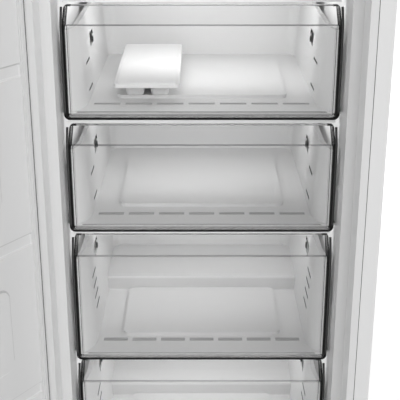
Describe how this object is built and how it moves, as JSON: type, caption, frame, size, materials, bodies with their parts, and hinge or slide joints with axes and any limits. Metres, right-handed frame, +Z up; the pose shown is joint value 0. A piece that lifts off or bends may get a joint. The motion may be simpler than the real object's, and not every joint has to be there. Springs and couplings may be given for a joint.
{
  "type": "upright freezer",
  "caption": "Tall single-door freezer with clear-fronted drawers on glass shelves, shown with its door open.",
  "frame": {"origin": "on the floor, under the middle of the cabinet's footprint without the door", "axes": "+Z up, -Y towards the front of the cabinet, +X to the right seen from the front"},
  "size_m": [0.9545, 1.1642, 1.865],
  "materials": {
    "steel_white": "satin",
    "steel_grey": "satin",
    "galvanised": "satin",
    "liner_white": "satin",
    "plastic_white": "satin",
    "plastic_grey": "matte",
    "plastic_black": "satin",
    "clear_plastic": "gloss",
    "shelf_glass": "gloss",
    "foam": "matte",
    "gasket": "matte",
    "rubber_black": "matte",
    "aluminium": "satin",
    "copper": "satin",
    "compressor_black": "satin",
    "nylon": "satin",
    "light_cover": "satin"
  },
  "bodies": {
    "cabinet": {"cabinet_shell": "steel_white", "rear_panel": "steel_grey", "base_pan": "galvanised", "cabinet_foam": "foam", "inner_liner": "liner_white", "condenser_coil": "compressor_black", "glass_shelves": "shelf_glass", "shelf_trims": "plastic_white", "duct_cover": "liner_white", "evaporator": "aluminium", "defrost_heater": "galvanised", "fan_motor": "plastic_grey", "ceiling_housing": "plastic_white", "light_lens": "light_cover", "top_hinge": "steel_grey", "hinge_cover": "plastic_white", "bottom_hinge": "steel_grey", "base_grille": "plastic_white", "compressor_tray": "galvanised", "compressor": "compressor_black", "compressor_grommets": "rubber_black", "evaporation_tray": "plastic_grey", "drain_tube": "plastic_grey", "refrigerant_pipes": "copper", "filter_drier": "copper", "mains_inlet": "plastic_black", "control_module": "plastic_grey"},
    "door": {"door_skin": "steel_white", "door_liner": "liner_white", "door_foam": "foam", "door_gasket": "gasket", "door_bottom_cap": "plastic_white", "door_top_cap": "plastic_white", "door_bushes": "nylon", "handle_cup": "plastic_white"},
    "fan": {"evaporator_fan": "plastic_grey"},
    "knob": {"temperature_knob": "plastic_grey"},
    "button": {"fast_freeze_button": "plastic_grey"},
    "foot_left": {"front_foot_left": "plastic_black"},
    "foot_right": {"front_foot_right": "plastic_black"},
    "roller_left": {"rear_roller_left": "plastic_black"},
    "roller_right": {"rear_roller_right": "plastic_black"},
    "drawer_1": {"drawer_1_tub": "liner_white", "drawer_1_front": "clear_plastic"},
    "drawer_2": {"drawer_2_tub": "liner_white", "drawer_2_front": "clear_plastic"},
    "drawer_3": {"drawer_3_tub": "liner_white", "drawer_3_front": "clear_plastic"},
    "drawer_4": {"drawer_4_tub": "liner_white", "drawer_4_front": "clear_plastic"},
    "drawer_5": {"drawer_5_tub": "liner_white", "drawer_5_front": "clear_plastic"},
    "drawer_6": {"drawer_6_tub": "liner_white", "drawer_6_front": "clear_plastic"},
    "drawer_7": {"drawer_7_tub": "liner_white", "drawer_7_front": "clear_plastic"},
    "tray": {"ice_tray": "plastic_white"},
    "tray_lid": {"ice_tray_lid": "plastic_white"}
  },
  "joints": [
    {"name": "door_hinge", "type": "hinge", "parent": "cabinet", "child": "door", "pos_m": [-0.2875, -0.3485, 0], "axis": [0, 0, -1], "range_deg": [-125, 0]},
    {"name": "fan_spin", "type": "hinge", "parent": "cabinet", "child": "fan", "pos_m": [0, 0.2417, 0.746], "axis": [0, 1, 0], "continuous": true},
    {"name": "knob_turn", "type": "hinge", "parent": "cabinet", "child": "knob", "pos_m": [0.16, -0.2555, 1.77], "axis": [0, -1, 0], "range_deg": [-135, 135]},
    {"name": "button_press", "type": "slide", "parent": "cabinet", "child": "button", "axis": [0, 1, 0], "range_m": [0, 0.0025]},
    {"name": "foot_left_screw", "type": "slide", "parent": "cabinet", "child": "foot_left", "axis": [0, 0, -1], "range_m": [0, 0.01]},
    {"name": "roller_left_spin", "type": "hinge", "parent": "cabinet", "child": "roller_left", "pos_m": [-0.262, 0.2825, 0.012], "axis": [1, 0, 0], "continuous": true},
    {"name": "foot_right_screw", "type": "slide", "parent": "cabinet", "child": "foot_right", "axis": [0, 0, -1], "range_m": [0, 0.01]},
    {"name": "roller_right_spin", "type": "hinge", "parent": "cabinet", "child": "roller_right", "pos_m": [0.262, 0.2825, 0.012], "axis": [1, 0, 0], "continuous": true},
    {"name": "drawer_1_slide", "type": "slide", "parent": "cabinet", "child": "drawer_1", "axis": [0, -1, 0], "range_m": [0, 0.3]},
    {"name": "drawer_2_slide", "type": "slide", "parent": "cabinet", "child": "drawer_2", "axis": [0, -1, 0], "range_m": [0, 0.3]},
    {"name": "drawer_3_slide", "type": "slide", "parent": "cabinet", "child": "drawer_3", "axis": [0, -1, 0], "range_m": [0, 0.3]},
    {"name": "drawer_4_slide", "type": "slide", "parent": "cabinet", "child": "drawer_4", "axis": [0, -1, 0], "range_m": [0, 0.3]},
    {"name": "drawer_5_slide", "type": "slide", "parent": "cabinet", "child": "drawer_5", "axis": [0, -1, 0], "range_m": [0, 0.3]},
    {"name": "drawer_6_slide", "type": "slide", "parent": "cabinet", "child": "drawer_6", "axis": [0, -1, 0], "range_m": [0, 0.3]},
    {"name": "drawer_7_slide", "type": "slide", "parent": "cabinet", "child": "drawer_7", "axis": [0, -1, 0], "range_m": [0, 0.19]},
    {"name": "tray_lift", "type": "slide", "parent": "drawer_3", "child": "tray", "axis": [0, 0, 1], "range_m": [0, 0.08]},
    {"name": "tray_lid_lift", "type": "slide", "parent": "tray", "child": "tray_lid", "axis": [0, 0, 1], "range_m": [0, 0.05]}
  ]
}
